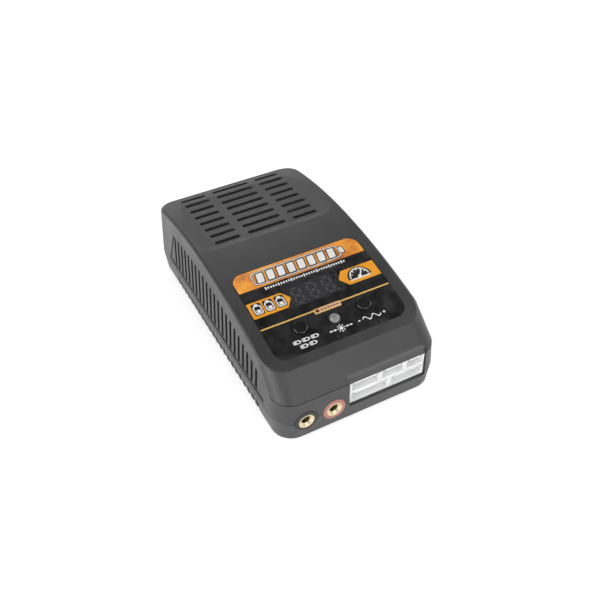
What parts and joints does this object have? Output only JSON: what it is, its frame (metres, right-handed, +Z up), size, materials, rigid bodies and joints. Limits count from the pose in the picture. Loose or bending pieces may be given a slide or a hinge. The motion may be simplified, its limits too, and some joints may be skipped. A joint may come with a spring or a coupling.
{
  "type": "balance battery charger",
  "caption": "Mains balance charger for model batteries: domed black case with side and top vents, display, push buttons, banana sockets and balance headers at the front.",
  "frame": {"origin": "centre of the object's box, on the surface it stands on", "axes": "+Z up, +Y from the front with the sockets to the rear with the mains inlet, +X to the right seen from the front"},
  "size_m": [0.0794, 0.1414, 0.0431],
  "materials": {
    "case_plastic": "fine-grained black ABS",
    "foot_rubber": "matt black rubber",
    "screw_steel": "zinc-plated steel",
    "overlay_sheet": "black printed polycarbonate sheet with an orange band",
    "smoked_pane": "smoked clear polycarbonate",
    "display_face": "dark grey display face",
    "segment_resin": "diffusing resin, unlit",
    "lamp_resin": "diffusing resin, unlit",
    "button_plastic": "smooth black plastic",
    "switch_plastic": "black switch moulding",
    "board_laminate": "green glass-epoxy laminate",
    "black_sleeve": "black nylon",
    "red_sleeve": "red nylon",
    "gold_plate": "gold-plated brass",
    "header_nylon": "natural white nylon",
    "tinned_pin": "tinned brass",
    "ferrite": "dark grey ferrite",
    "copper_winding": "enamelled copper wire",
    "winding_tape": "yellow polyester tape",
    "capacitor_sleeve": "shrink sleeve",
    "film_capacitor": "yellow box capacitor",
    "sink_aluminium": "plain aluminium",
    "chip_resin": "black moulding resin",
    "fuse_ceramic": "white ceramic tube",
    "inlet_plastic": "black moulded inlet",
    "fan_plastic": "black fan moulding",
    "cable_sheath": "grey flat cable"
  },
  "bodies": {
    "case": {"balance_board": "board_laminate", "balance_header_3_pin": "header_nylon", "balance_header_4_pin": "header_nylon", "balance_header_5_pin": "header_nylon", "balance_header_6_pin": "header_nylon", "balance_header_7_pin": "header_nylon", "balance_header_pins": "tinned_pin", "balance_resistors": "chip_resin", "battery_type_switch": "switch_plastic", "board_screws": "screw_steel", "bridge_rectifier": "chip_resin", "case_screws": "screw_steel", "control_board": "board_laminate", "control_board_screws": "screw_steel", "controller_chip": "chip_resin", "current_switch": "switch_plastic", "display_module": "display_face", "display_segments": "segment_resin", "display_window": "smoked_pane", "fan_frame": "fan_plastic", "fan_lead": "cable_sheath", "fan_screws": "screw_steel", "fan_stator": "copper_winding", "label_overlay": "overlay_sheet", "lower_shell": "case_plastic", "main_board": "board_laminate", "mains_capacitor": "capacitor_sleeve", "mains_choke": "copper_winding", "mains_fuse": "fuse_ceramic", "mains_inlet": "inlet_plastic", "mains_inlet_pins": "tinned_pin", "negative_contact": "gold_plate", "negative_socket_sleeve": "black_sleeve", "output_capacitors": "capacitor_sleeve", "output_inductor": "copper_winding", "positive_contact": "gold_plate", "positive_socket_sleeve": "red_sleeve", "power_semiconductors": "chip_resin", "primary_heat_sink": "sink_aluminium", "ribbon_cable": "cable_sheath", "rubber_feet": "foot_rubber", "secondary_heat_sink": "sink_aluminium", "status_led": "lamp_resin", "suppression_capacitor": "film_capacitor", "transformer_core": "ferrite", "transformer_winding": "winding_tape", "upper_shell": "case_plastic"},
    "battery_type_key": {"battery_type_button": "button_plastic", "battery_type_plunger": "switch_plastic"},
    "current_key": {"current_button": "button_plastic", "current_plunger": "switch_plastic"},
    "fan": {"fan_rotor": "fan_plastic"}
  },
  "joints": [
    {"name": "battery_type_press", "type": "slide", "parent": "case", "child": "battery_type_key", "axis": [0, 0.2016, -0.9795], "range_m": [0, 0.00025], "stiffness_N_per_m": 300, "springref_m": -0.001},
    {"name": "current_press", "type": "slide", "parent": "case", "child": "current_key", "axis": [0, 0.2016, -0.9795], "range_m": [0, 0.00025], "stiffness_N_per_m": 300, "springref_m": -0.001},
    {"name": "fan_spin", "type": "hinge", "parent": "case", "child": "fan", "pos_m": [0, 0.04135, 0.0394], "axis": [0, 0.0924, 0.9957], "continuous": true}
  ]
}
